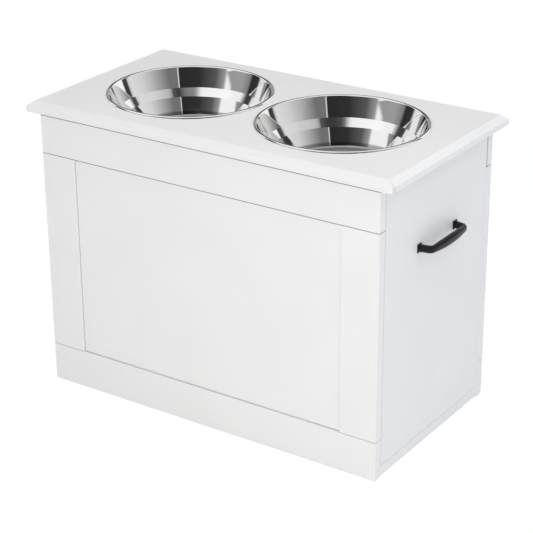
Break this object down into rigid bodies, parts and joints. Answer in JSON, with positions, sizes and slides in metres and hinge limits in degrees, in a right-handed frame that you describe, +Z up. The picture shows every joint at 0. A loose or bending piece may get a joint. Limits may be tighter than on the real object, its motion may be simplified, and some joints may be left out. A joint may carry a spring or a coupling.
{
  "type": "elevated dog feeder with storage",
  "caption": "White storage box on the floor whose hinged lid has round cut-outs holding steel feeding bowls, with a black bow handle on each side.",
  "frame": {"origin": "bottom centre of the overall box, on the floor between the two frames' bottom rails", "axes": "+X to the right seen from the front, +Y from the front to the back where the lid's hinges are, +Z up; the front looks along -Y"},
  "size_m": [0.5964, 0.312, 0.4305],
  "materials": {
    "white_board": "white painted fibreboard, satin",
    "bowl_steel": "mirror-polished stainless steel",
    "black_casting": "satin black coating on a zinc casting",
    "zinc_steel": "zinc-plated steel",
    "zinc_cast": "bare zinc casting",
    "hinge_steel": "nickel-plated pressed steel",
    "bare_wood": "bare beech",
    "soft_dot": "pale soft plastic"
  },
  "bodies": {
    "box": {"front_top_rail": "white_board", "front_bottom_rail": "white_board", "front_panel": "white_board", "front_left_stile": "white_board", "front_right_stile": "white_board", "back_top_rail": "white_board", "back_bottom_rail": "white_board", "back_panel": "white_board", "back_left_stile": "white_board", "back_right_stile": "white_board", "left_side_panel": "white_board", "right_side_panel": "white_board", "bottom_board": "white_board", "left_handle": "black_casting", "right_handle": "black_casting", "left_handle_screws": "zinc_steel", "right_handle_screws": "zinc_steel", "left_hinge_body_leaf": "hinge_steel", "right_hinge_body_leaf": "hinge_steel", "left_hinge_pin": "hinge_steel", "right_hinge_pin": "hinge_steel", "left_hinge_body_screws": "zinc_steel", "right_hinge_body_screws": "zinc_steel", "bottom_screws": "zinc_steel", "cam_bolts": "zinc_steel", "cam_nuts": "zinc_cast", "frame_dowels": "bare_wood", "side_dowels": "bare_wood", "bottom_dowels": "bare_wood", "lid_bumpers": "soft_dot"},
    "lid": {"top_board": "white_board", "left_hinge_lid_leaf": "hinge_steel", "right_hinge_lid_leaf": "hinge_steel", "left_hinge_lid_screws": "zinc_steel", "right_hinge_lid_screws": "zinc_steel"},
    "left_bowl": {"left_bowl": "bowl_steel"},
    "right_bowl": {"right_bowl": "bowl_steel"}
  },
  "joints": [
    {"name": "lid_hinge", "type": "hinge", "parent": "box", "child": "lid", "pos_m": [0, 0.1528, 0.4097], "axis": [-1, 0, 0], "range_deg": [0, 100]},
    {"name": "left_bowl_lift", "type": "slide", "parent": "lid", "child": "left_bowl", "axis": [0, 0, 1], "range_m": [0, 0.1]},
    {"name": "right_bowl_lift", "type": "slide", "parent": "lid", "child": "right_bowl", "axis": [0, 0, 1], "range_m": [0, 0.1]}
  ]
}
